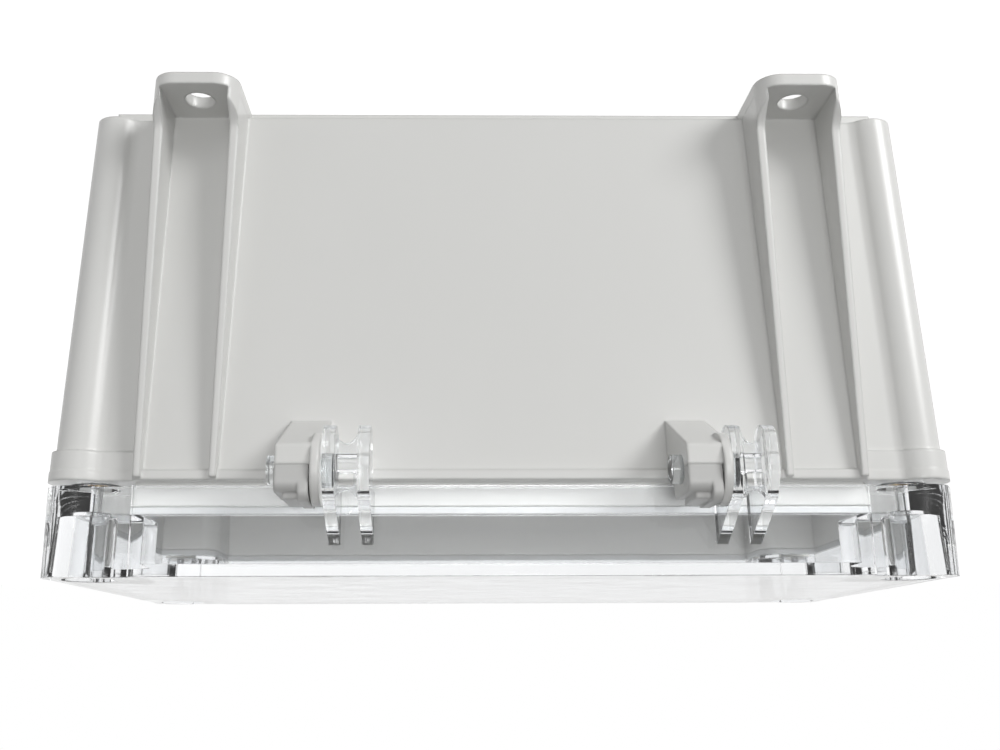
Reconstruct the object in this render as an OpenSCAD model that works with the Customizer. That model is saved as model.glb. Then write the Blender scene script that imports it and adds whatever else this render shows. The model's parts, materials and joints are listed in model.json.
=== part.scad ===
// Wall-mounting electronics enclosure: a deep moulded base with four mounting ears,
// a clear lid on two outrigger hinges, and captive lid screws.
// Z is up through the lid, the hinges are on the +Y side, and the ears stand on z = 0.

/* [Enclosure] */
// Overall length along the hinge side, over the mouth rim
body_len = 200; // [180:1:240]
// Width between the two long walls, at the mouth
body_wid = 100; // [90:1:140]
// Height of the seam above the ground
base_h = 93; // [73:1:123]
// Height of the lid above the seam
lid_h = 20.5; // [19:0.5:30]
// Thickness of the base's floor
floor_t = 3; // [2:0.1:5]
// How far the raised pad under the floor is set in from the walls
pad_in = 6; // [5:0.1:9]
// How far the end walls lean in at the floor
draft_end = 0.2; // [0.2:0.1:2.4]
// How far the long walls lean in at the floor
draft_side = 2.3; // [0.5:0.1:2.6]

/* [Mouth] */
// Height of the thin rim round the mouth
rim_h = 2.2; // [1.5:0.1:4]
// How far the rim stands out of the walls
rim_proud = 1; // [0.5:0.1:1.2]
// Height of the skirt round each corner column
skirt_h = 6.6; // [5:0.1:14]
// Height of the tongue above the seam
tongue_h = 5.4; // [4:0.1:6]
// Thickness of the tongue
tongue_t = 2.1; // [1.6:0.1:2.6]
// Clearance between the tongue and the lid's wall
tongue_gap = 0.3; // [0.3:0.05:0.6]
// Thickness of the seal above the tongue
gasket_t = 1.7; // [1:0.1:2.5]
// Open seam between the base's rim and the lid's edge
seam_gap = 1.2; // [0.4:0.1:1.6]
// How far the lid's walls stand back from the rim
lid_step = 0.2; // [0:0.1:0.8]

/* [Corner columns] */
// Outer radius of a corner column
column_r = 5.6; // [4.8:0.1:7]
// Radius of the hollow between a column and the wall
hollow_r = 4.4; // [3.4:0.1:5]
// How far a column stands out of the long wall
column_proud = 0.6; // [0.2:0.1:1]
// How far the wall beside a column is set back
wall_recess = 1.7; // [0.5:0.1:2]
// Size of the block inside each corner, from the outer faces
block = 18.6; // [17:0.1:22]
// Radius of the block's inner corner
block_r = 5; // [2:0.1:7]

/* [Ears] */
// Distance of an ear's hole from the middle of the long side
ear_x = 70.8; // [60:0.1:74]
// Width of an ear
ear_w = 20; // [18:0.1:22]
// How far an ear reaches out of the long wall
ear_reach = 13.4; // [12:0.1:18]
// Thickness of an ear's foot and of the pad under the floor
ear_t = 3; // [2.4:0.1:4]
// Radius of an ear's outer corners
ear_corner_r = 5.5; // [2:0.1:8]
// Radius of the screw hole in an ear
ear_hole_r = 3.5; // [2.5:0.1:4]
// Distance from the long wall to the centre of that hole
ear_hole_out = 5.6; // [5.2:0.1:8]
// Thickness of a rib at the foot
rib_t = 2.1; // [1.6:0.1:3]
// Thickness of a rib at the mouth
rib_tip_t = 1.5; // [1:0.1:2]
// Height of a rib above the wall, just above the flare
rib_mid = 7.4; // [5:0.1:9]
// Height of a rib above the wall at the mouth
rib_end = 2.2; // [1.4:0.1:2.4]
// Length over which the rib flares out into the ear
flare_h = 9; // [6:0.1:16]

/* [Hinges] */
// Distance between the two hinges
hinge_pitch = 83; // [70:0.2:86]
// Distance of the hinge axis from the long wall
hinge_out = 12.5; // [12:0.1:14]
// Radius of the hinge pin
pin_r = 3; // [2.4:0.1:3.4]
// Running clearance round the pin, on the radius
pin_gap = 0.05; // [0.03:0.01:0.1]
// How far the pin's end stands out of the bracket
pin_out = 2.2; // [1:0.1:3]
// Width of the bracket's block
bracket_w = 7.2; // [6:0.1:9]
// How far the block reaches in front of the hinge axis
bracket_front = 6.4; // [4.6:0.1:6.5]
// Height of the block's front face above the parting line
bracket_face = 4.6; // [4:0.1:6]
// Height of the block along the wall
bracket_root = 13.4; // [11:0.1:16]
// Radius of the round flange on the bracket
flange_r = 7.5; // [6.8:0.1:7.5]
// Thickness of the flange
flange_t = 1.8; // [1:0.1:2.5]
// Depth of the keeper below the parting line
keeper_h = 7.2; // [5:0.1:7.4]
// Side gap between the keeper and the flange
keeper_gap = 0.3; // [0.2:0.05:0.5]
// Width of the release notch in the keeper
notch_w = 4.8; // [2:0.1:5.2]
// Depth of the release notch
notch_h = 1.8; // [1:0.1:2.2]
// Side clearance between the flange and the knuckle
knuckle_gap = 0.35; // [0.3:0.05:0.6]
// Thickness of each knuckle plate
plate_t = 2.5; // [1.8:0.1:3]
// Distance between the two plates of a knuckle
plate_gap = 4.6; // [4.5:0.1:7]
// Radius of the knuckle round the pin
knuckle_r = 5.4; // [4.8:0.1:6]
// How far the knuckle's lobe reaches past the axis
lobe_reach = 9; // [8:0.1:9.6]
// Radius of the lobe's tip
lobe_r = 4.2; // [3:0.1:4.4]
// Height of the leg's end above the seam
leg_h = 14.2; // [10:0.1:16]
// Thickness of the web between the plates
web_t = 1.8; // [1.5:0.1:3]
// How far the web's front stands before the hinge axis
web_front_y = 3.7; // [3:0.1:4.4]
// Width of the window in the web
window_w = 3.2; // [2:0.1:4]
// Height of the window in the web
window_h = 3; // [2:0.1:3.4]

/* [Lid] */
// Thickness of the lid's face
lid_face_t = 3; // [2:0.1:4]
// Thickness of the lid's wall round the tongue
lid_wall = 3.4; // [2.4:0.1:4]
// How far the lid's wall leans in at its face
lid_draft = 0.5; // [0.2:0.1:1]
// Radius of the screw wells
well_r = 6; // [5:0.1:6.4]
// Depth of the screw wells
well_depth = 13.2; // [12:0.1:14]
// Distance of a well's centre from the outer faces
well_in = 8.6; // [8:0.1:10]

/* [Lid screws] */
// Radius of the screw's thread
thread_r = 1.95; // [1.4:0.05:2.4]
// Running clearance of the thread in its insert, on the radius
thread_gap = 0.05; // [0.03:0.01:0.1]
// Length of the thread
thread_len = 5.6; // [3:0.1:5.8]
// Radius of the neck above the thread
neck_r = 1.5; // [1:0.05:1.5]
// Radius of the head
head_r = 4; // [3:0.1:4.4]
// Height of the head
head_h = 3; // [2:0.1:3.4]
// How far the screw goes down when it is driven home
screw_travel = 5; // [3:0.1:5.2]
// Free play at the two ends of the travel
screw_play = 0.2; // [0.1:0.05:0.4]
// Thickness of the sealing washer under the head
seal_t = 1.2; // [0.8:0.1:1.6]
// Radius of the sealing washer
seal_r = 3.7; // [3:0.1:4]
// Thickness of the retaining washer in the well's floor
retainer_t = 1; // [0.6:0.1:1.6]
// Radius of the retaining washer
retainer_r = 4.4; // [3.6:0.1:5]

/* [Inserts and bosses] */
// Outer radius of a brass insert
insert_r = 2.8; // [2.6:0.1:3.4]
// Length of a lid-screw insert
insert_len = 8; // [5:0.1:12]
// Distance between the floor bosses along the length
boss_dx = 146; // [120:1:150]
// Distance between the floor bosses across the width
boss_dy = 66; // [50:1:72]
// Radius of a floor boss
boss_r = 4.6; // [4.2:0.1:6]
// Height of the floor bosses above the floor
boss_h = 9; // [7:0.1:14]
// Length of a floor boss's insert
boss_insert_len = 6; // [4:0.1:6.5]

/* [Hidden] */
$fn = 64;
eps = 0.01;
skirt_step = 0.15;
hollow_cut = 0.05;
hollow_lap = 0.3;
panel_step = 0.8;
grey = [0.80, 0.80, 0.79];
keeper_grey = [0.72, 0.72, 0.72];
clear = [0.86, 0.89, 0.92, 0.35];
brass = [0.80, 0.64, 0.30];
steel = [0.70, 0.71, 0.73];
seal_grey = [0.55, 0.56, 0.57];

// Half sizes of the wall plan at the mouth, how far the lid's plan grows beyond it,
// and the half sizes of the tongue's outer face
half_x = body_len / 2 - rim_proud;
half_y = body_wid / 2;
lid_grow = rim_proud - lid_step;
tongue_x = half_x + lid_grow - lid_wall - tongue_gap;
tongue_y = half_y + lid_grow - lid_wall - tongue_gap;
top_z = base_h + lid_h;
tongue_top = base_h + tongue_h;
ledge_z = tongue_top + gasket_t;

// Where the ears and ribs begin inside the wall, and where the ribs end
ear_root = half_y - block / 2;
rib_stop = base_h - 0.5;

// Hinge stations along X, measured from each hinge's centre
axis_y = half_y + hinge_out;
bracket_x0 = -5;
flange_x0 = bracket_x0 + bracket_w;
flange_x1 = flange_x0 + flange_t;
plate_x0 = flange_x1 + knuckle_gap;
plate_x1 = plate_x0 + plate_t;
plate_x2 = plate_x1 + plate_gap;
plate_x3 = plate_x2 + plate_t;
pin_end = plate_x1 - 0.5;

// Levels of the screw well, its retaining washer and the screw at rest
well_floor = top_z - well_depth;
retainer_z = well_floor - retainer_t;
thread_top = retainer_z - screw_play;
neck_len = screw_play + retainer_t + screw_travel + seal_t + screw_play;
head_z = thread_top + neck_len;
passage_r = thread_r + 0.35;

// ---- Helpers -------------------------------------------------------------

// Points along an arc from angle a0 to a1
function arc(c, r, a0, a1, n = 10) =
    [for (i = [0:n]) let (a = a0 + (a1 - a0) * i / n) c + r * [cos(a), sin(a)]];

// Repeats its children at all four corners, mirrored outwards
module at_corners() {
    for (sx = [-1, 1], sy = [-1, 1])
        scale([sx, sy, 1]) children();
}

// Mirrors its children onto both sides of a plane, keeping the original
module both(normal) {
    children();
    mirror(normal) children();
}

// Turns a Y-Z outline into a solid that runs from x0 to x1
module along_x(x0, x1) {
    translate([x0, 0, 0]) rotate([90, 0, 90]) linear_extrude(x1 - x0) children();
}

// ---- Plans ---------------------------------------------------------------

// Centre of the corner column in the first quadrant
column_c = [half_x - column_r, half_y + column_proud - column_r];
well_c = [half_x - well_in, half_y - well_in];
panel_half = ear_x + ear_w / 2 - panel_step;

// Centre of the hollow beside that column, which just cuts into column and wall,
// and the direction from the column's centre to it
hollow_y = half_y - wall_recess + hollow_r - hollow_cut;
hollow_d = column_r + hollow_r - hollow_cut;
hollow_turn = asin((hollow_y - column_c.y) / hollow_d);
hollow_dir = [-cos(hollow_turn), sin(hollow_turn)];
hollow_c = column_c + hollow_d * hollow_dir;

// Where the hollow runs out into the column, for a plan that grows
function hollow_end(grow) = column_c + (column_r + grow) * hollow_dir + [hollow_lap, 0];

// Plan of the outer walls at the mouth, or of the rim when it grows: flat end panels,
// set-back strips, flat side panels and round columns
module wall_plan(grow = 0) {
    square(2 * [half_x - column_proud + grow, column_c.y], center = true);
    square(2 * [column_c.x, half_y - wall_recess + grow], center = true);
    square(2 * [panel_half, half_y + grow], center = true);
    at_corners() {
        translate(column_c) circle(column_r + grow);
        difference() {
            translate([hollow_c.x, column_c.y]) square(hollow_end(grow) - [hollow_c.x, column_c.y]);
            translate(hollow_c) circle(hollow_r - grow);
        }
    }
}

// Block of half size top at z1, whose four sides lean in by lean at z0
module leaning_block(top, lean, z0, z1) {
    reach = 2 * body_len;
    intersection() {
        translate([0, reach / 2, 0]) rotate([90, 0, 0]) linear_extrude(reach)
            polygon([[-top.x, z1], [lean.x - top.x, z0], [top.x - lean.x, z0], [top.x, z1]]);
        along_x(-reach / 2, reach / 2)
            polygon([[-top.y, z1], [lean.y - top.y, z0], [top.y - lean.y, z0], [top.y, z1]]);
    }
}

// Long rod about c at z1 in the first quadrant, which leans with the walls
module leaning_rod(c, r, lean, h, z1) {
    translate([c.x, c.y, z1]) rotate([-atan(lean.y / h), atan(lean.x / h), 0])
        translate([0, 0, -h - 2]) cylinder(h + 4, r = r);
}

// Round column in the first quadrant, with the hollow that leads it into the wall
module leaning_column(lean, z0, z1, grow) {
    h = z1 - z0;
    end = hollow_end(grow);
    intersection() {
        leaning_rod(column_c, column_r + grow, lean, h, z1);
        translate([0, 0, z0]) cube([2 * half_x, 2 * half_y, h]);
    }
    difference() {
        intersection() {
            leaning_block(end, lean, z0, z1);
            translate([0, 0, z0]) rotate([0, atan(lean.x / h), 0])
                translate([hollow_c.x - lean.x, column_c.y - lean.y - 2, -h]) cube([2 * hollow_r, 2 * half_y, 3 * h]);
        }
        leaning_rod(hollow_c, hollow_r - grow, lean, h, z1);
    }
}

// The walls of base or lid as one solid: three blocks and four columns
module leaning_walls(lean, z0, z1, grow = 0) {
    leaning_block([half_x - column_proud + grow, column_c.y], lean, z0, z1);
    leaning_block([column_c.x, half_y - wall_recess + grow], lean, z0, z1);
    leaning_block([panel_half, half_y + grow], lean, z0, z1);
    at_corners() leaning_column(lean, z0, z1, grow);
}

// Corner of the first quadrant that the inside leaves solid, with one rounded corner
module corner_block(grow = 0) {
    b = [half_x, half_y] - (block - grow) * [1, 1];
    translate(b + block_r * [1, 1]) circle(block_r);
    translate(b + [block_r, 0]) square(block);
    translate(b + [0, block_r]) square(block);
}

// Plan of the inside at the tongue's outer face; a negative grow moves it inwards
module mouth_plan(grow = 0) {
    difference() {
        square(2 * [tongue_x + grow, tongue_y + grow], center = true);
        at_corners() corner_block(grow);
    }
}

// ---- Base ----------------------------------------------------------------

// Plan of the raised pad under the floor; a negative grow moves it inwards
module pad_plan(grow = 0) {
    square([body_len, body_wid] - 2 * (pad_in - grow) * [1, 1], center = true);
}

// Leaning walls above the pad, the pad, and the thin rim round the mouth
module base_walls() {
    leaning_walls([draft_end, draft_side], ear_t, base_h);
    linear_extrude(ear_t + floor_t / 2) pad_plan();
    translate([0, 0, base_h - rim_h]) linear_extrude(rim_h) wall_plan(rim_proud);
}

// Skirt round each corner column, from the ear's rib round to the end wall
module corner_skirts() {
    translate([0, 0, base_h - skirt_h]) linear_extrude(skirt_h - rim_h / 2) intersection() {
        wall_plan(rim_proud - skirt_step);
        at_corners() translate([panel_half - rib_t / 2, half_y - block]) square(2 * block);
    }
}

module tongue() {
    translate([0, 0, base_h - 1]) linear_extrude(tongue_h + 1) mouth_plan();
}

// Height of an ear's rib above the wall, at height z
function rib_height(z) = z < ear_t + flare_h
    ? rib_mid + (ear_reach - rib_mid) * (1 + cos(180 * (z - ear_t) / flare_h)) / 2
    : rib_mid + (rib_end - rib_mid) * (z - ear_t - flare_h) / (base_h - ear_t - flare_h);

module rib_profile() {
    flare = [for (i = [0:12]) ear_t + flare_h * i / 12];
    polygon(concat([[ear_root, 0], [half_y + ear_reach, 0]],
        [for (z = flare) [half_y + rib_height(z), z]],
        [[half_y + rib_end, rib_stop], [ear_root, rib_stop]]));
}

// One ear in plan: a foot plate with two rounded outer corners
module ear_plan() {
    corner_y = half_y + ear_reach - ear_corner_r;
    translate([ear_x, 0]) {
        translate([-ear_w / 2, ear_root]) square([ear_w, corner_y - ear_root]);
        translate([ear_corner_r - ear_w / 2, ear_root])
            square([ear_w - 2 * ear_corner_r, half_y + ear_reach - ear_root]);
        both([1, 0]) translate([ear_w / 2 - ear_corner_r, corner_y]) circle(ear_corner_r);
    }
}

// Front view of the two ribs, which grow thinner towards the mouth
module rib_bars() {
    both_ribs = [[-ear_w / 2, 1], [ear_w / 2, -1]];
    for (rib = both_ribs)
        polygon([[rib[0], 0], [rib[0] + rib[1] * rib_t, 0],
            [rib[0] + rib[1] * (rib_t + 0.5), base_h], [rib[0] + rib[1] * (rib_t + 0.5 - rib_tip_t), base_h]]);
}

// An ear: the foot plate, and two ribs that run up the wall to the rim
module ear() {
    linear_extrude(ear_t) ear_plan();
    intersection() {
        linear_extrude(base_h) ear_plan();
        along_x(ear_x - ear_w, ear_x + ear_w) rib_profile();
        translate([ear_x, half_y + 2 * ear_reach, 0]) rotate([90, 0, 0])
            linear_extrude(4 * ear_reach) rib_bars();
    }
}

// ---- Hinges --------------------------------------------------------------

// Puts its children at both hinges, or at the one with index i
module at_hinge(i) {
    translate([(i - 0.5) * hinge_pitch, axis_y, base_h]) children();
}

// Outline of the bracket above the parting line, from the axis: a ramp and a flat front
module bracket_profile() {
    nose_r = 1.2;
    ramp = atan2(bracket_root - bracket_face, hinge_out + bracket_front);
    nose = [bracket_front - nose_r, nose_r - bracket_face];
    polygon(concat([[-hinge_out - draft_side - 1, 0], [-hinge_out - draft_side - 1, -bracket_root - 1.2]],
        arc(nose, nose_r, ramp - 90, 0), [[bracket_front, 0]]));
}

module bracket() {
    difference() {
        union() {
            along_x(bracket_x0, flange_x0 + eps) bracket_profile();
            along_x(flange_x0, flange_x1) {
                bracket_profile();
                circle(flange_r);
            }
        }
        along_x(bracket_x0 - 1, flange_x1 + 1) circle(pin_r + pin_gap);
    }
}

// Lower half of the bearing: a cap with round lower corners that snaps onto the bracket
module keeper_profile(h) {
    round_r = 2.2;
    reach = flange_r + bracket_front;
    translate([-flange_r, 0]) {
        square([reach, h - round_r]);
        translate([round_r, 0]) square([reach - 2 * round_r, h]);
        for (y = [round_r, reach - round_r]) translate([y, h - round_r]) circle(round_r);
    }
}

// The keeper, with its release notch and the snap hook behind it
module keeper() {
    notch_x = bracket_x0 + notch_w;
    hook = [1.6, 2, 0.5];
    difference() {
        union() {
            along_x(bracket_x0, notch_x + eps) keeper_profile(keeper_h - notch_h);
            along_x(notch_x, flange_x0 - keeper_gap) keeper_profile(keeper_h);
            translate([bracket_x0 + hook.x, hook.y - flange_r, keeper_h - 2 * notch_h])
                cube([notch_w - hook.x + eps, flange_r + bracket_front - 2 * hook.y, 2 * notch_h - hook.z]);
        }
        along_x(bracket_x0 - 1, flange_x1) circle(pin_r + pin_gap);
        translate([-2 * flange_r, -2 * flange_r, -2 * flange_r]) cube([4 * flange_r, 4 * flange_r, 2 * flange_r]);
    }
}

module hinge_pin() {
    along_x(bracket_x0 - pin_out, pin_end) circle(pin_r);
}

// Outline of a knuckle plate, from the axis: a lobe above, and a leg that runs down the lid's wall
module plate_profile() {
    lobe = [1, lobe_r - lobe_reach];
    knee = [1.8, 6.5];
    root_z = seam_gap + 1.6;
    polygon(concat(arc([0, 0], knuckle_r, 30, -5), arc(lobe, lobe_r, -5, -180),
        arc([0, 0], knuckle_r, -165, -215, 4),
        [[-hinge_out, root_z], [-hinge_out - lid_wall / 2, root_z], [-hinge_out - lid_wall / 2, leg_h],
         [-hinge_out, leg_h], knee]));
}

// Front view of the web between the plates: hollowed above, arched below, with one window
module web_plan() {
    mid = (plate_x1 + plate_x2) / 2;
    half = plate_gap / 2;
    saddle = [-4.8, 1.5];
    arch = [window_h + 1.7, 1.3];
    difference() {
        translate([plate_x1 - eps, lobe_r - lobe_reach - 1.8]) square([plate_gap + 2 * eps, lobe_reach + 3.8]);
        translate([mid, saddle[0] - saddle[1] * half]) scale([1, saddle[1]]) circle(half);
        translate([mid, arch[0] + arch[1] * half]) scale([1, arch[1]]) circle(half);
        translate([mid - window_w / 2, 1.2]) square([window_w, window_h]);
    }
}

module knuckle() {
    bar = [web_front_y - 2, -0.8, 2];
    difference() {
        union() {
            along_x(plate_x0, plate_x1) plate_profile();
            along_x(plate_x2, plate_x3) plate_profile();
            translate([0, web_front_y, 0]) rotate([90, 0, 0]) linear_extrude(web_t) web_plan();
            along_x(plate_x1 - eps, plate_x2 + eps) translate([bar.x, bar.y]) circle(bar.z);
        }
        along_x(plate_x0 - 1, pin_end) circle(pin_r);
    }
}

// ---- Base shell ----------------------------------------------------------

module floor_boss() {
    translate([boss_dx / 2, boss_dy / 2, floor_t - eps]) cylinder(boss_h + eps, r = boss_r);
}

module base_shell() {
    color(grey) difference() {
        union() {
            difference() {
                union() {
                    base_walls();
                    corner_skirts();
                    tongue();
                    at_corners() ear();
                }
                translate([0, 0, ear_t + floor_t]) linear_extrude(base_h + tongue_h) mouth_plan(-tongue_t);
                translate([0, 0, floor_t]) linear_extrude(ear_t + floor_t) intersection() {
                    pad_plan(-floor_t);
                    mouth_plan(-tongue_t);
                }
            }
            for (i = [0, 1]) at_hinge(i) bracket();
            at_corners() floor_boss();
        }
        at_corners() {
            translate([ear_x, half_y + ear_hole_out, -1]) cylinder(ear_t + 2, r = ear_hole_r);
            translate([well_c.x, well_c.y, base_h - insert_len]) cylinder(insert_len + 1, r = insert_r);
            translate([boss_dx / 2, boss_dy / 2, floor_t + boss_h - boss_insert_len])
                cylinder(boss_insert_len + 1, r = insert_r);
        }
    }
}

// ---- Lid -----------------------------------------------------------------

// Outer walls of the lid, which lean in towards its face
module lid_walls() {
    low = base_h + seam_gap;
    mirror([0, 0, 1]) leaning_walls([lid_draft, lid_draft], -top_z, -low, lid_grow);
}

module lid_cover() {
    color(clear) difference() {
        union() {
            difference() {
                lid_walls();
                // room for the tongue and the seal, then the narrower inside above the ledge
                translate([0, 0, base_h]) linear_extrude(ledge_z - base_h) mouth_plan(tongue_gap);
                translate([0, 0, base_h]) linear_extrude(lid_h - lid_face_t) mouth_plan(-tongue_t - tongue_gap);
            }
            // feet that stand on the corner columns
            at_corners() translate([well_c.x, well_c.y, base_h])
                cylinder(seam_gap + 1, r = well_r);
            for (i = [0, 1]) at_hinge(i) knuckle();
        }
        at_corners() translate([well_c.x, well_c.y, 0]) {
            translate([0, 0, well_floor]) cylinder(well_depth + 1, r = well_r);
            translate([0, 0, base_h - 1]) cylinder(well_depth, r = passage_r);
            translate([0, 0, retainer_z]) cylinder(retainer_t + 1, r = retainer_r);
        }
    }
}

module lid_gasket() {
    color(seal_grey) translate([0, 0, tongue_top]) linear_extrude(gasket_t) difference() {
        mouth_plan();
        mouth_plan(-tongue_t);
    }
}

// ---- Screws, washers and inserts -----------------------------------------

// Puts its children on the well axis of one corner
module at_well(sx, sy) {
    translate([sx * well_c.x, sy * well_c.y, 0]) children();
}

module tube(h, r_out, r_in) {
    rotate_extrude() translate([r_in, 0]) square([r_out - r_in, h]);
}

module lid_screw() {
    tip = 0.6;
    slot = [0.9, 1.3];
    difference() {
        rotate_extrude() polygon([[0, thread_top - thread_len], [thread_r - tip, thread_top - thread_len],
            [thread_r, thread_top - thread_len + tip], [thread_r, thread_top - 0.3], [neck_r, thread_top],
            [neck_r, head_z], [head_r, head_z], [head_r, head_z + head_h - 0.6],
            [head_r - 0.6, head_z + head_h], [0, head_z + head_h]]);
        translate([0, 0, head_z + head_h]) for (a = [0, 90])
            rotate(a) cube([2 * head_r - 2.6, slot.x, 2 * slot.y], center = true);
    }
}

module screw_seal() {
    translate([0, 0, head_z - seal_t]) tube(seal_t, seal_r, neck_r + thread_gap);
}

module screw_retainer() {
    translate([0, 0, retainer_z]) tube(retainer_t, retainer_r, neck_r + 0.3);
}

// Brass insert with two knurled bands, its top at the height z
module insert(z, len) {
    groove = 0.35;
    rotate_extrude() polygon([[thread_r + thread_gap, z - len], [insert_r, z - len], [insert_r, z - 0.6 * len],
        [insert_r - groove, z - 0.6 * len], [insert_r - groove, z - 0.4 * len], [insert_r, z - 0.4 * len],
        [insert_r, z], [thread_r + thread_gap, z]]);
}

module lid_insert(sx, sy) {
    color(brass) at_well(sx, sy) insert(base_h, insert_len);
}

module panel_insert(sx, sy) {
    color(brass) translate([sx * boss_dx / 2, sy * boss_dy / 2, 0]) insert(floor_t + boss_h, boss_insert_len);
}

base_shell();
color(keeper_grey) at_hinge(0) keeper();  // hinge_keeper_left
color(keeper_grey) at_hinge(1) keeper();  // hinge_keeper_right
lid_cover();
lid_gasket();
color(clear) at_hinge(0) hinge_pin();  // hinge_pin_left
color(clear) at_hinge(1) hinge_pin();  // hinge_pin_right
color(steel) at_well(-1, -1) lid_screw();  // lid_screw_left
color(steel) at_well(1, -1) lid_screw();  // lid_screw_right
color(seal_grey) at_well(-1, -1) screw_seal();  // screw_seal_left
color(seal_grey) at_well(1, -1) screw_seal();  // screw_seal_right
color(seal_grey) at_well(-1, -1) screw_retainer();  // screw_retainer_left
color(seal_grey) at_well(1, -1) screw_retainer();  // screw_retainer_right
lid_insert(-1, -1);  // lid_insert_front_left
lid_insert(1, -1);  // lid_insert_front_right
lid_insert(-1, 1);  // lid_insert_back_left
lid_insert(1, 1);  // lid_insert_back_right
panel_insert(-1, -1);  // panel_insert_front_left
panel_insert(1, -1);  // panel_insert_front_right
panel_insert(-1, 1);  // panel_insert_back_left
panel_insert(1, 1);  // panel_insert_back_right
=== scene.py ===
"""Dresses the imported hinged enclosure: moulded grey base, clear lid, hinges, seal and fasteners.

The pieces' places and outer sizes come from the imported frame. What the frame doesn't hold, such
as a thread's pitch, is a field of the class that makes it. Lengths are metres, and angles are
degrees until Blender takes them.
"""

import json
import logging
import math
from dataclasses import dataclass, field
from enum import Enum
from typing import Any, Union

import bmesh
import bpy
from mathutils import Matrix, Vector

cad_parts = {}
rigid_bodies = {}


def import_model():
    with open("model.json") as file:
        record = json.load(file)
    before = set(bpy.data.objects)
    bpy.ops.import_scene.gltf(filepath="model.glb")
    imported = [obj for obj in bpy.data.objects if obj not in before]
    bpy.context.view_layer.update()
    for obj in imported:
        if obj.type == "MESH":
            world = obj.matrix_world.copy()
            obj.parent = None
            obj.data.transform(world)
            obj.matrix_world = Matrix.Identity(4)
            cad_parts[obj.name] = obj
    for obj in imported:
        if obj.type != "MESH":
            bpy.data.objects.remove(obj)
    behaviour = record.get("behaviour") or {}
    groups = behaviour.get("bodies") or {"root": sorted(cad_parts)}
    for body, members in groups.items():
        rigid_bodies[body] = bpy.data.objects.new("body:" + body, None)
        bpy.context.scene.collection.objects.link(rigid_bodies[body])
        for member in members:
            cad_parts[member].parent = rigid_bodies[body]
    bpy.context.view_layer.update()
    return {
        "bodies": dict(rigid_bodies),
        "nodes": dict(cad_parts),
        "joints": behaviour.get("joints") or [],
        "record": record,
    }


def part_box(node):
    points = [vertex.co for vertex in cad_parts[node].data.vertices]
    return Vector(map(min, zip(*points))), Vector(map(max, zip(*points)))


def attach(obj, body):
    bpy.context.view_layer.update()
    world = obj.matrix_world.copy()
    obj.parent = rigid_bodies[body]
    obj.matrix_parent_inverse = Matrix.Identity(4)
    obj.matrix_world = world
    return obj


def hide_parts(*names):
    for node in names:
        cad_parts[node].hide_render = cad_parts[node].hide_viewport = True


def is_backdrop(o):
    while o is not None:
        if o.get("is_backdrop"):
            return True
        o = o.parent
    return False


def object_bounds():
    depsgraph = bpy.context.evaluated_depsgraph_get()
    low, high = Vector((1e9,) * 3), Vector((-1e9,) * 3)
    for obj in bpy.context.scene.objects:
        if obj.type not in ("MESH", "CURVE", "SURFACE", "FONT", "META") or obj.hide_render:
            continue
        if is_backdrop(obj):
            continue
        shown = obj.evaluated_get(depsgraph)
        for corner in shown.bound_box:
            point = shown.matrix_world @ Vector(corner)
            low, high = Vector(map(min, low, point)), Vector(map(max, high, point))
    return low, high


LOG = logging.getLogger("enclosure")
MM = 0.001
WHITE = (1.0, 1.0, 1.0, 1.0)
SIDES = ("left", "right")
EVEN = (1.0, 1.0, 1.0)  # noise that isn't stretched
LEVEL_ONLY = (1.0, 1.0, 0.0)  # takes the height out of a vector
WHOLE_LENGTH = 1.0  # longer than any piece
PLAIN_DETAIL = 2.0  # octaves of finer noise
RICH_DETAIL = 3.0


# ---- Node trees ------------------------------------------------------------------------


class Graph:
    """A shader or geometry node tree that is put together in code."""

    def __init__(self, tree: bpy.types.NodeTree) -> None:
        """Wraps a node tree."""
        self.tree = tree

    def socket(self, sockets: Any, name: str) -> bpy.types.NodeSocket:
        """Finds one socket.

        Args:
            sockets: a node's inputs or outputs.
            name: the socket's identifier, or its name with _ for a space.

        Returns:
            The socket.
        """
        plain = name.replace("_", " ")
        return next(s for test in (lambda s: s.identifier == name, lambda s: s.name == plain)
                    for s in sockets if test(s))

    def feed(self, target: bpy.types.NodeSocket, value: Any) -> None:
        """Links something to an input socket, or sets a constant on it.

        Args:
            target: the input socket.
            value: a Value, an output socket or a constant.
        """
        if isinstance(value, Value):
            value = value.socket
        if isinstance(value, bpy.types.NodeSocket):
            self.tree.links.new(value, target)
        else:
            target.default_value = value

    def add(self, kind: str, settings: Union[dict, None] = None, **sockets: Any) -> bpy.types.Node:
        """Adds a node.

        Args:
            kind: the node's type.
            settings: the node's own properties, set before its sockets.
            sockets: a value or link for each input socket.

        Returns:
            The node.
        """
        node = self.tree.nodes.new(kind)
        for key, value in (settings or {}).items():
            setattr(node, key, value)
        for name, value in sockets.items():
            self.feed(self.socket(node.inputs, name), value)
        return node

    def value(self, kind: str, output: str, settings: Union[dict, None] = None,
              **sockets: Any) -> "Value":
        """Adds a node and returns one of its outputs.

        Args:
            kind: the node's type.
            output: the output's name.
            settings: the node's own properties.
            sockets: a value or link for each input socket.

        Returns:
            The output, ready for arithmetic.
        """
        node = self.add(kind, settings, **sockets)
        return Value(self, self.socket(node.outputs, output))

    def vector(self, operation: str, first: Any, second: Any = None, **sockets: Any) -> "Value":
        """Adds a Vector Math node.

        Args:
            operation: what it does.
            first: its first vector.
            second: its second vector, if it takes one.
            sockets: a value or link for its other sockets.

        Returns:
            Its result.
        """
        node = self.add("ShaderNodeVectorMath", {"operation": operation}, **sockets)
        self.feed(node.inputs[0], first)
        if second is not None:
            self.feed(node.inputs[1], second)
        return Value(self, node.outputs["Value" if operation == "LENGTH" else "Vector"])


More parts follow.
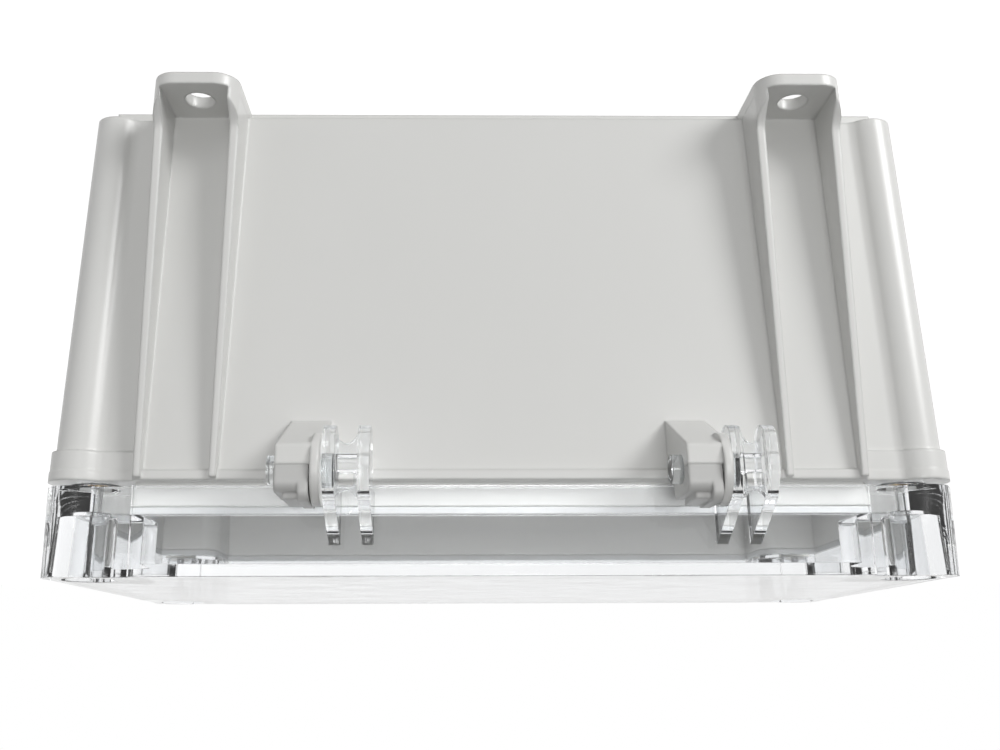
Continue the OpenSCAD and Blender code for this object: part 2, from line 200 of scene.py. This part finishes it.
class Value:
    """A node output that can be used in plain arithmetic."""

    def __init__(self, graph: Graph, socket: bpy.types.NodeSocket) -> None:
        """Wraps one output socket."""
        self.graph = graph
        self.socket = socket

    def _math(self, operation: str, first: Any, second: Any) -> "Value":
        """Adds a Math node.

        Args:
            operation: what it does.
            first: its first operand, a Value or a number.
            second: its second operand.

        Returns:
            Its result.
        """
        node = self.graph.add("ShaderNodeMath", {"operation": operation})
        self.graph.feed(node.inputs[0], first)
        self.graph.feed(node.inputs[1], second)
        return Value(self.graph, node.outputs[0])

    def __add__(self, other: Any) -> "Value":
        """Sum."""
        return self._math("ADD", self, other)

    def __sub__(self, other: Any) -> "Value":
        """Difference."""
        return self._math("SUBTRACT", self, other)

    def __rsub__(self, other: Any) -> "Value":
        """A number less this value."""
        return self._math("SUBTRACT", other, self)

    def __mul__(self, other: Any) -> "Value":
        """Product."""
        return self._math("MULTIPLY", self, other)

    def __truediv__(self, other: Any) -> "Value":
        """Quotient."""
        return self._math("DIVIDE", self, other)

    def __rtruediv__(self, other: Any) -> "Value":
        """A number divided by this value."""
        return self._math("DIVIDE", other, self)

    __radd__ = __add__
    __rmul__ = __mul__

    def above(self, other: Any) -> "Value":
        """1 where this value is larger than the other, and 0 elsewhere."""
        return self._math("GREATER_THAN", self, other)

    def below(self, other: Any) -> "Value":
        """1 where this value is smaller than the other, and 0 elsewhere."""
        return self._math("LESS_THAN", self, other)

    def larger(self, other: Any) -> "Value":
        """The larger of this value and another."""
        return self._math("MAXIMUM", self, other)

    def step(self, low: float, high: float) -> "Value":
        """A smooth step.

        Args:
            low: where the step starts.
            high: where the step ends.

        Returns:
            0 below low, 1 above high.
        """
        return self.graph.value("ShaderNodeMapRange", "Result",
                                {"interpolation_type": "SMOOTHSTEP"},
                                Value=self, From_Min=low, From_Max=high)


# ---- Materials -------------------------------------------------------------------------


def grey(level: float) -> tuple:
    """An opaque grey."""
    return (level, level, level, 1.0)


class Paint(Graph):
    """A material under construction, with its Principled shader and object coordinates."""

    EDGE_SAMPLES = 6  # rays that look for a near edge

    def __init__(self, name: str) -> None:
        """Starts a material that has only its Principled shader.

        Args:
            name: the material's name.
        """
        self.material = bpy.data.materials.new(name)
        self.material.use_nodes = True
        super().__init__(self.material.node_tree)
        self.shader = self.tree.nodes["Principled BSDF"]
        self.place = self.value("ShaderNodeTexCoord", "Object")

    def noise(self, size: float, detail: float, stretch: tuple = EVEN) -> Value:
        """Noise in the object's own space.

        Args:
            size: the grain size in metres.
            detail: octaves of finer noise.
            stretch: relative size along X, Y and Z.

        Returns:
            A value from 0 to 1.
        """
        place = self.value("ShaderNodeMapping", "Vector", Vector=self.place,
                           Scale=[1.0 / s for s in stretch])
        return self.value("ShaderNodeTexNoise", "Fac", Vector=place, Scale=1.0 / size,
                          Detail=detail)

    def set(self, **sockets: Any) -> None:
        """Sets or links the shader's own sockets, by name with _ for a space."""
        for name, value in sockets.items():
            self.feed(self.socket(self.shader.inputs, name), value)

    def mottle(self, pattern: Value, colour: tuple, shade: float) -> Value:
        """Varies a colour by a pattern.

        Args:
            pattern: 0 gives the darker shade, 1 the full colour.
            colour: the full colour.
            shade: what the darker shade keeps of it.

        Returns:
            The varied colour.
        """
        darker = tuple(c * shade for c in colour)
        return self.value("ShaderNodeMix", "Result_Color", {"data_type": "RGBA"},
                          Factor_Float=pattern, A_Color=(*darker, 1.0), B_Color=(*colour, 1.0))

    def relief(self, height: Value, depth: float, edge: float = 0.0) -> None:
        """Bumps the surface and softens its edges.

        Args:
            height: the height pattern, from 0 to 1.
            depth: how deep the pattern is.
            edge: the radius that the edges seem to have.
        """
        inputs = {"Height": height, "Distance": depth, "Strength": 1.0}
        if edge:
            inputs["Normal"] = self.value("ShaderNodeBevel", "Normal",
                                          {"samples": self.EDGE_SAMPLES}, Radius=edge)
        self.set(Normal=self.value("ShaderNodeBump", "Normal", **inputs))

    def pass_lamps(self, share: float) -> None:
        """Lets light from the lamps through, so that what is behind is lit.

        Args:
            share: the share of the light that passes.
        """
        output = self.tree.nodes["Material Output"]
        rays = self.value("ShaderNodeLightPath", "Is Shadow Ray")
        clear = self.add("ShaderNodeBsdfTransparent", Color=grey(share))
        mix = self.add("ShaderNodeMixShader")
        for socket, source in zip(mix.inputs, (rays, self.shader.outputs[0], clear.outputs[0])):
            self.feed(socket, source)
        self.feed(output.inputs["Surface"], mix.outputs[0])


@dataclass(frozen=True)
class MouldedPlastic:
    """Opaque plastic with the soft clouding, flow lines and fine grain of a moulded surface."""

    name: str
    colour: tuple
    shade: float = 0.985
    roughness: float = 0.31
    roughness_spread: float = 0.03
    cloud: float = 45 * MM
    cloud_share: float = 0.75
    flow: float = 9 * MM
    flow_stretch: tuple = (1.0, 1.0, 4.0)
    contrast: tuple = (0.2, 0.8)
    grain: float = 0.35 * MM
    grain_depth: float = 0.003 * MM
    edge: float = 1.0 * MM
    ior: float = 1.58

    def build(self) -> bpy.types.Material:
        """Builds the material.

        Returns:
            The material.
        """
        paint = Paint(self.name)
        cloud = paint.noise(self.cloud, RICH_DETAIL)
        flow = paint.noise(self.flow, RICH_DETAIL, self.flow_stretch)
        pattern = (cloud * self.cloud_share + flow * (1.0 - self.cloud_share)).step(*self.contrast)
        paint.set(Base_Color=paint.mottle(pattern, self.colour, self.shade), IOR=self.ior,
                  Roughness=flow * self.roughness_spread
                  + (self.roughness - self.roughness_spread / 2))
        paint.relief(paint.noise(self.grain, PLAIN_DETAIL), self.grain_depth, self.edge)
        return paint.material


@dataclass(frozen=True)
class ClearPlastic:
    """Clear polished polycarbonate with faint flow lines and a slightly worn gloss."""

    name: str
    tint: tuple
    shade: float = 0.985
    roughness: float = 0.02
    roughness_spread: float = 0.03
    swirl: float = 11 * MM
    swirl_stretch: tuple = (1.0, 1.0, 2.5)
    waviness: float = 0.02 * MM
    edge: float = 0.3 * MM
    ior: float = 1.5
    lamp_share: float = 0.94

    def build(self) -> bpy.types.Material:
        """Builds the material.

        Returns:
            The material.
        """
        paint = Paint(self.name)
        swirl = paint.noise(self.swirl, PLAIN_DETAIL, self.swirl_stretch)
        paint.set(Base_Color=paint.mottle(swirl, self.tint, self.shade), IOR=self.ior,
                  Roughness=swirl * self.roughness_spread + self.roughness,
                  Transmission_Weight=1.0)
        paint.relief(swirl, self.waviness, self.edge)
        paint.pass_lamps(self.lamp_share)
        return paint.material


@dataclass(frozen=True)
class SoftSeal:
    """Foamed or moulded elastomer."""

    name: str
    colour: tuple
    shade: float = 0.85
    roughness: float = 0.62
    roughness_spread: float = 0.15
    grain: float = 0.6 * MM
    grain_depth: float = 0.03 * MM

    def build(self) -> bpy.types.Material:
        """Builds the material.

        Returns:
            The material.
        """
        paint = Paint(self.name)
        grain = paint.noise(self.grain, RICH_DETAIL)
        paint.set(Base_Color=paint.mottle(grain, self.colour, self.shade),
                  Roughness=grain * self.roughness_spread + self.roughness)
        paint.relief(grain, self.grain_depth)
        return paint.material


@dataclass(frozen=True)
class TurnedMetal:
    """Turned metal with fine rings round its axis."""

    name: str
    colour: tuple
    roughness: float
    shade: float = 0.82
    roughness_spread: float = 0.16
    ring: float = 0.25 * MM
    ring_stretch: tuple = (40.0, 40.0, 1.0)
    ring_depth: float = 0.01 * MM

    def build(self) -> bpy.types.Material:
        """Builds the material.

        Returns:
            The material.
        """
        paint = Paint(self.name)
        rings = paint.noise(self.ring, PLAIN_DETAIL, self.ring_stretch)
        paint.set(Base_Color=paint.mottle(rings, self.colour, self.shade), Metallic=1.0,
                  Roughness=rings * self.roughness_spread + self.roughness)
        paint.relief(rings, self.ring_depth)
        return paint.material


class Slot(Enum):
    """The record's material slots."""

    BASE = "base_plastic"
    KEEPER = "keeper_plastic"
    CLEAR = "clear_plastic"
    PIN = "pin_plastic"
    SEAL = "seal_rubber"
    WASHER = "washer_rubber"
    RETAINER = "retainer_plastic"
    SCREW = "screw_steel"
    INSERT = "insert_brass"


FINISHES = {
    Slot.BASE: MouldedPlastic("base polycarbonate", (0.62, 0.62, 0.605)),
    Slot.KEEPER: MouldedPlastic("keeper polycarbonate", (0.47, 0.47, 0.46), shade=0.94,
                                roughness=0.4),
    Slot.CLEAR: ClearPlastic("clear polycarbonate", (0.86, 0.87, 0.88)),
    Slot.PIN: ClearPlastic("clear pin", (0.92, 0.94, 0.95)),
    Slot.SEAL: SoftSeal("silicone seal", (0.66, 0.67, 0.67)),
    Slot.WASHER: SoftSeal("rubber washer", (0.05, 0.05, 0.05)),
    Slot.RETAINER: MouldedPlastic("natural nylon", (0.72, 0.71, 0.66), shade=0.92, roughness=0.4),
    Slot.SCREW: TurnedMetal("stainless steel", (0.58, 0.58, 0.59), roughness=0.22),
    Slot.INSERT: TurnedMetal("brass", (0.72, 0.50, 0.20), roughness=0.26),
}


# ---- The workshop ----------------------------------------------------------------------


def put(name: str, data: Any) -> bpy.types.Object:
    """Puts an object into the scene.

    Args:
        name: the object's name.
        data: its mesh, light or camera.

    Returns:
        The object.
    """
    thing = bpy.data.objects.new(name, data)
    bpy.context.collection.objects.link(thing)
    return thing


def settle(holder: bpy.types.Object) -> bpy.types.Mesh:
    """Makes one plain mesh of an object with modifiers, and takes the object away.

    Args:
        holder: the object.

    Returns:
        Its mesh with the modifiers' work in it.
    """
    shaped = holder.evaluated_get(bpy.context.evaluated_depsgraph_get())
    done = bpy.data.meshes.new_from_object(shaped)
    bpy.data.objects.remove(holder)
    return done


def upright_axis(node: str) -> Vector:
    """Finds the upright axis through the middle of a node.

    Args:
        node: the node's name.

    Returns:
        The axis's point at height 0.
    """
    low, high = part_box(node)
    middle = (low + high) / 2
    return Vector((middle.x, middle.y, 0.0))


class Workshop:
    """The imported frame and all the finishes, and the one way in which a piece is handed over."""

    MERGE = 0.001 * MM  # distance between doubles
    FLAT = 0.02  # angle up to which faces are one
    SHARP = 30.0  # angle from which an edge is sharp

    def __init__(self, frame: dict) -> None:
        """Reads the record and builds all the finishes.
        """
        record = frame["record"]
        self.nodes = frame["nodes"]
        self.slots = {part["node"]: part["material_slot"] for part in record["subparts"]}
        self.bodies = {node: body for body, nodes in record["behaviour"]["bodies"].items()
                       for node in nodes}
        self.finishes = {slot.value: finish.build() for slot, finish in FINISHES.items()}

    def finish(self, node: str) -> bpy.types.Material:
        """The finish of a node."""
        return self.finishes[self.slots[node]]

    def dress(self, node: str) -> None:
        """Gives a node of the frame its finish.

        Args:
            node: the node's name.
        """
        for slot in self.nodes[node].material_slots:
            slot.material = self.finish(node)
        LOG.info("%s takes %s", node, self.finish(node).name)

    def copy(self, node: str) -> bpy.types.Mesh:
        """Copies a node's mesh with its doubles merged, its flat faces whole and its edges sharp.

        Args:
            node: the node's name.

        Returns:
            The copy.
        """
        whole = bmesh.new()
        whole.from_mesh(self.nodes[node].data)
        bmesh.ops.remove_doubles(whole, verts=whole.verts, dist=self.MERGE)
        bmesh.ops.dissolve_limit(whole, angle_limit=math.radians(self.FLAT), verts=whole.verts,
                                 edges=whole.edges)
        mesh = bpy.data.meshes.new(node + "_copy")
        whole.to_mesh(mesh)
        whole.free()
        for layer in [a for a in mesh.attributes if a.name == "custom_normal"]:
            mesh.attributes.remove(layer)
        mesh.shade_smooth()
        mesh.set_sharp_from_angle(angle=math.radians(self.SHARP))
        return mesh

    def hand_over(self, name: str, mesh: bpy.types.Mesh, node: str) -> None:
        """Makes a mesh the piece that stands for a node.

        Args:
            name: the piece's name.
            mesh: its mesh, in place.
            node: the node that it replaces and whose body it rides on.
        """
        mesh.materials.clear()
        mesh.materials.append(self.finish(node))
        piece = put(name, mesh)
        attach(piece, self.bodies[node])
        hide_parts(node)
        LOG.info("%s stands for %s: %d faces", name, node, len(mesh.polygons))


@dataclass
class EdgeRounding:
    """Real rounded edges on a plain ring-shaped piece."""

    radius: float
    segments: int = 2
    sharp: float = 35.0

    def round(self, shop: Workshop, node: str) -> bpy.types.Mesh:
        """Makes a copy of a node with rounded edges.

        Args:
            shop: the workshop.
            node: the node's name.

        Returns:
            The rounded mesh.
        """
        blank = shop.copy(node)
        holder = put(blank.name, blank)
        bevel = holder.modifiers.new("edges", "BEVEL")
        bevel.width = self.radius
        bevel.segments = self.segments
        bevel.limit_method = "ANGLE"
        bevel.angle_limit = math.radians(self.sharp)
        bevel.harden_normals = True
        return settle(holder)


# ---- Geometry Nodes --------------------------------------------------------------------


class Recipe(Graph):
    """A Geometry Nodes tree with named inputs that turns a mesh into one plain mesh."""

    def __init__(self, name: str) -> None:
        """Starts a tree that takes a mesh, a material and the foot of the mesh's upright axis.

        Args:
            name: the tree's name.
        """
        super().__init__(bpy.data.node_groups.new(name, "GeometryNodeTree"))
        self.tree.interface.new_socket("Geometry", in_out="OUTPUT",
                                       socket_type="NodeSocketGeometry")
        self.entry = self.add("NodeGroupInput")
        self.exit = self.add("NodeGroupOutput")
        self.identifiers: dict = {}
        self.geometry = self.ask("Geometry", "NodeSocketGeometry")
        self.material = self.ask("Material", "NodeSocketMaterial")
        self.middle = self.ask("Middle", "NodeSocketVector")
        self.position = self.value("GeometryNodeInputPosition", "Position")

    def ask(self, name: str, kind: str = "NodeSocketFloat") -> Value:
        """Adds a named input.

        Args:
            name: its name.
            kind: its socket type.

        Returns:
            Its value inside the tree.
        """
        item = self.tree.interface.new_socket(name, in_out="INPUT", socket_type=kind)
        self.identifiers[name] = item.identifier
        return Value(self, self.socket(self.entry.outputs, item.identifier))

    def shrink(self, low: Any, high: Any, reach: Any, radius: Any) -> Value:
        """Draws the mesh in round the middle axis.

        Args:
            low: where along the axis it starts.
            high: where it ends.
            reach: only what lies farther out than this is drawn in.
            radius: the distance from the axis that it is drawn in to.

        Returns:
            The geometry.
        """
        arm = self.vector("SUBTRACT", self.position, self.middle)
        flat = self.vector("MULTIPLY", arm, LEVEL_ONLY)
        out = self.vector("LENGTH", flat)
        level = self.value("ShaderNodeSeparateXYZ", "Z", Vector=self.position)
        offset = self.vector("SCALE", flat, Scale=radius / out - 1.0)
        chosen = level.above(low) * level.below(high) * out.above(reach)
        return self.value("GeometryNodeSetPosition", "Geometry", Geometry=self.geometry,
                          Offset=offset, Selection=chosen)

    def lift(self, part: Value, height: Value) -> Value:
        """Moves a part that was made at the origin up the middle axis.

        Args:
            part: the part.
            height: the height it gets.

        Returns:
            The part in place.
        """
        up = self.value("ShaderNodeCombineXYZ", "Vector", Z=height)
        return self.value("GeometryNodeTransform", "Geometry", Geometry=part,
                          Translation=self.vector("ADD", self.middle, up))

    def serve(self, *parts: Value) -> None:
        """Joins the parts, makes them real, gives them the material and ends the tree.

        Args:
            parts: the geometries that make up the piece.
        """
        join = self.add("GeometryNodeJoinGeometry")
        for part in parts:
            self.feed(join.inputs[0], part)
        real = self.value("GeometryNodeRealizeInstances", "Geometry", Geometry=join.outputs[0])
        self.feed(self.exit.inputs[0],
                  self.value("GeometryNodeSetMaterial", "Geometry", Geometry=real,
                             Material=self.material))

    def cook(self, mesh: bpy.types.Mesh, **inputs: Any) -> bpy.types.Mesh:
        """Runs the tree on a mesh.

        Args:
            mesh: the mesh that goes in.
            inputs: a value for each named input, with _ for a space.

        Returns:
            The plain mesh that comes out.
        """
        holder = put(mesh.name, mesh)
        modifier = holder.modifiers.new(self.tree.name, "NODES")
        modifier.node_group = self.tree
        for name, value in inputs.items():
            modifier[self.identifiers[name.replace("_", " ")]] = value
        return settle(holder)


@dataclass
class Thread:
    """A rolled thread: the blank is drawn in to the root and a helical ridge is laid on it.

    The blank band and the margin are shares of the root, and the ridge's half is one of the depth.
    """

    pitch: float = 0.7 * MM
    root: float = 1.5 * MM
    crest: float = 1.93 * MM
    run_in: float = 0.4 * MM
    steps_per_turn: int = 32
    ridge_corners: int = 4
    ridge_half: float = 0.62
    root_margin: float = 1.02
    blank_band: tuple = (1.01, 1.4)

    def recipe(self) -> Recipe:
        """Makes the tree.

        Returns:
            The tree.
        """
        recipe = Recipe("thread")
        low, high, root, depth, turns = (recipe.ask(n)
                                         for n in ("Low", "High", "Root", "Depth", "Turns"))
        blank = recipe.shrink(low, high, root * self.root_margin, root)
        half = depth * self.ridge_half
        radius = root + depth - half
        helix = recipe.value("GeometryNodeCurveSpiral", "Curve", Resolution=self.steps_per_turn,
                             Rotations=turns, Start_Radius=radius, End_Radius=radius,
                             Height=high - low - half * 2.0)
        upright = recipe.value("GeometryNodeSetCurveNormal", "Curve", {"mode": "Z_UP"},
                               Curve=recipe.lift(helix, low + half))
        profile = recipe.value("GeometryNodeCurvePrimitiveCircle", "Curve",
                               Resolution=self.ridge_corners, Radius=half)
        ridge = recipe.value("GeometryNodeCurveToMesh", "Mesh", Curve=upright,
                             Profile_Curve=profile, Fill_Caps=True)
        recipe.serve(blank, ridge)
        return recipe

    def cut(self, shop: Workshop, node: str, recipe: Recipe) -> bpy.types.Mesh:
        """Threads a copy of a screw.

        Args:
            shop: the workshop.
            node: the screw's node.
            recipe: the thread's tree.

        Returns:
            The threaded mesh.
        """
        axis = upright_axis(node)
        blank = shop.copy(node)
        inner, outer = (share * self.root for share in self.blank_band)
        heights = [v.co.z for v in blank.vertices if inner < (v.co.xy - axis.xy).length < outer]
        foot, top = min(heights), max(heights)
        return recipe.cook(blank, Material=shop.finish(node), Middle=axis[:],
                           Low=foot - self.run_in, High=top + self.run_in / 2, Root=self.root,
                           Depth=self.crest - self.root, Turns=(top - foot) / self.pitch)


@dataclass
class Knurl:
    """Straight knurling on the two bands of a moulded-in insert.

    The bands are shares of the insert's length. A ridge is a square bar with an edge outwards, and
    its side is a share of the knurl's depth.
    """

    ridges: int = 30
    depth: float = 0.2 * MM
    bands: tuple = ((0.0, 0.4), (0.6, 1.0))
    ridge_side: float = 1.4
    ridge_turn: float = 45.0
    end_gap: float = 0.05 * MM

    def recipe(self) -> Recipe:
        """Makes the tree.

        Returns:
            The tree.
        """
        recipe = Recipe("knurl")
        low, length, radius, depth = (recipe.ask(n) for n in ("Low", "Length", "Radius", "Depth"))
        count = recipe.ask("Count", "NodeSocketInt")
        core = radius - depth
        body = recipe.shrink(low - WHOLE_LENGTH, low + WHOLE_LENGTH, core, core)
        ring = recipe.value("GeometryNodeMeshCircle", "Mesh", Vertices=count, Radius=core)
        turn = recipe.value("FunctionNodeAlignRotationToVector", "Rotation", {"axis": "X"},
                            Vector=recipe.position)
        side = depth * self.ridge_side
        bands = []
        for start, end in self.bands:
            size = recipe.value("ShaderNodeCombineXYZ", "Vector", X=side, Y=side,
                                Z=length * (end - start) - self.end_gap)
            bar = recipe.value("GeometryNodeMeshCube", "Mesh", Size=size)
            edge_out = recipe.value("GeometryNodeTransform", "Geometry", Geometry=bar,
                                    Rotation=(0.0, 0.0, math.radians(self.ridge_turn)))
            around = recipe.value("GeometryNodeInstanceOnPoints", "Instances", Points=ring,
                                  Instance=edge_out, Rotation=turn)
            bands.append(recipe.lift(around, low + length * ((start + end) / 2)))
        recipe.serve(body, *bands)
        return recipe

    def roll(self, shop: Workshop, node: str, recipe: Recipe) -> bpy.types.Mesh:
        """Knurls a copy of an insert.

        Args:
            shop: the workshop.
            node: the insert's node.
            recipe: the knurl's tree.

        Returns:
            The knurled mesh.
        """
        low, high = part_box(node)
        return recipe.cook(shop.copy(node), Material=shop.finish(node),
                           Middle=upright_axis(node)[:], Low=low.z, Length=high.z - low.z,
                           Radius=(high.x - low.x) / 2, Depth=self.depth, Count=self.ridges)


# ---- Sub-assemblies --------------------------------------------------------------------


@dataclass
class Base:
    """The moulded base with its ears and hinge brackets, and the snap-on keeper of each hinge."""

    moulded: tuple = ("base_shell", "hinge_keeper_left", "hinge_keeper_right")

    def build(self, shop: Workshop) -> None:
        """Dresses the base's pieces."""
        for node in self.moulded:
            shop.dress(node)


@dataclass
class Lid:
    """The clear lid with its hinge arms, its two pins and its seal."""

    moulded: tuple = ("lid_cover", "hinge_pin_left", "hinge_pin_right")
    seal: str = "lid_gasket"
    seal_edge: EdgeRounding = field(default_factory=lambda: EdgeRounding(0.4 * MM, segments=3))

    def build(self, shop: Workshop) -> None:
        """Dresses the lid's moulded pieces and builds its seal.

        Args:
            shop: the workshop.
        """
        for node in self.moulded:
            shop.dress(node)
        shop.hand_over("lid_seal", self.seal_edge.round(shop, self.seal), self.seal)


@dataclass
class CaptiveScrews:
    """The two captive lid screws with their threads, sealing washers and retainers."""

    thread: Thread = field(default_factory=Thread)
    washer_edge: EdgeRounding = field(default_factory=lambda: EdgeRounding(0.3 * MM))

    def build(self, shop: Workshop) -> None:
        """Builds the pieces of both screws.

        Args:
            shop: the workshop.
        """
        recipe = self.thread.recipe()
        for side in SIDES:
            screw, washer = f"lid_screw_{side}", f"screw_seal_{side}"
            shop.hand_over(f"threaded_screw_{side}", self.thread.cut(shop, screw, recipe), screw)
            shop.hand_over(f"washer_{side}", self.washer_edge.round(shop, washer), washer)
            shop.dress(f"screw_retainer_{side}")


@dataclass
class Inserts:
    """The brass inserts of the lid screws and of the bosses in the floor."""

    knurl: Knurl = field(default_factory=Knurl)

    def build(self, shop: Workshop) -> None:
        """Builds every insert.

        Args:
            shop: the workshop.
        """
        recipe = self.knurl.recipe()
        for node in [n for n in shop.nodes if "_insert_" in n]:
            name = node.replace("insert", "knurled")
            shop.hand_over(name, self.knurl.roll(shop, node, recipe), node)


# ---- Stage -----------------------------------------------------------------------------


@dataclass(frozen=True)
class Lamp:
    """A round soft lamp that is aimed at the object's middle."""

    name: str
    place: tuple
    size: float
    power: float


@dataclass
class Studio:
    """Floor, world, lamps and camera."""

    floor_size: float = 3.0
    floor_drop: float = 0.2 * MM
    floor_colour: float = 0.8
    floor_roughness: float = 0.9
    floor_glow: float = 0.75
    world_light: float = 0.27
    camera_place: tuple = (-11.02 * MM, 272.79 * MM, 131.60 * MM)
    camera_turn: tuple = (-72.529, -0.197, 0.648)
    camera_near: float = 10 * MM
    sensor: float = 36.0
    lens: float = 37.032
    shift: tuple = (0.0366, -0.0330)
    lamps: tuple = (
        Lamp("front", (0.10, 1.25, 0.30), 0.45, 4.4),
        Lamp("key", (0.90, 0.80, -0.55), 0.6, 11.5),
        Lamp("fill", (-0.95, 0.75, -0.35), 0.8, 1.6),
        Lamp("back", (-0.7, -0.9, 0.75), 0.9, 2.6),
    )

    def seen(self, graph: Graph) -> Value:
        """Tells what is seen from what only lights.

        Args:
            graph: the floor's or the world's tree.

        Returns:
            1 for rays from the camera, from gloss and through glass, and 0 for the rest.
        """
        rays = graph.add("ShaderNodeLightPath")
        camera, glossy, through = (Value(graph, rays.outputs[f"Is {kind} Ray"])
                                   for kind in ("Camera", "Glossy", "Transmission"))
        return camera.larger(glossy).larger(through)

    def build_floor(self) -> None:
        """A plain pale floor that keeps the object's shadow and lets light from below pass."""
        paint = Paint("pale floor")
        paint.set(Base_Color=grey(self.floor_colour), Roughness=self.floor_roughness,
                  Emission_Color=WHITE, Emission_Strength=self.seen(paint) * self.floor_glow)
        reach = self.floor_size / 2
        corners = ((-reach, -reach), (reach, -reach), (reach, reach), (-reach, reach))
        mesh = bpy.data.meshes.new("floor")
        mesh.from_pydata([(x, y, -self.floor_drop) for x, y in corners], [], [(0, 1, 2, 3)])
        mesh.materials.append(paint.material)
        floor = put("floor", mesh)
        floor.visible_shadow = False
        floor.visible_diffuse = False
        floor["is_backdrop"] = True

    def build_world(self) -> None:
        """An even world that lights softly and is seen as white."""
        world = bpy.data.worlds.new("studio")
        bpy.context.scene.world = world
        world.use_nodes = True
        graph = Graph(world.node_tree)
        background = world.node_tree.nodes["Background"]
        graph.feed(background.inputs["Color"], WHITE)
        graph.feed(background.inputs["Strength"],
                   self.seen(graph) * (1.0 - self.world_light) + self.world_light)

    def build_lamps(self) -> None:
        """The lamps."""
        low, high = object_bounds()
        middle = (low + high) / 2
        for lamp in self.lamps:
            light = bpy.data.lights.new(lamp.name, "AREA")
            light.shape = "DISK"
            light.size = lamp.size
            light.energy = lamp.power
            holder = put(lamp.name, light)
            holder.location = lamp.place
            aim = (middle - Vector(lamp.place)).to_track_quat("-Z", "Y")
            holder.rotation_euler = aim.to_euler()

    def build_camera(self) -> None:
        """The camera, which looks at the hinge side from above and has the lid at the bottom."""
        camera = bpy.data.cameras.new("camera")
        camera.sensor_width = self.sensor
        camera.lens = self.lens
        camera.shift_x, camera.shift_y = self.shift
        camera.clip_start = self.camera_near
        holder = put("camera", camera)
        holder.location = self.camera_place
        holder.rotation_euler = [math.radians(a) for a in self.camera_turn]
        bpy.context.scene.camera = holder

    def build(self) -> None:
        """Builds the whole stage."""
        bpy.context.scene.view_settings.view_transform = "Standard"
        self.build_world()
        self.build_floor()
        self.build_lamps()
        self.build_camera()


def main() -> None:
    """Builds the enclosure's looks and its stage."""
    logging.basicConfig(level=logging.INFO, format="%(name)s: %(message)s")
    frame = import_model()
    shop = Workshop(frame)
    for assembly in (Base(), Lid(), CaptiveScrews(), Inserts()):
        assembly.build(shop)
    Studio().build()


if __name__ == "__main__":
    main()
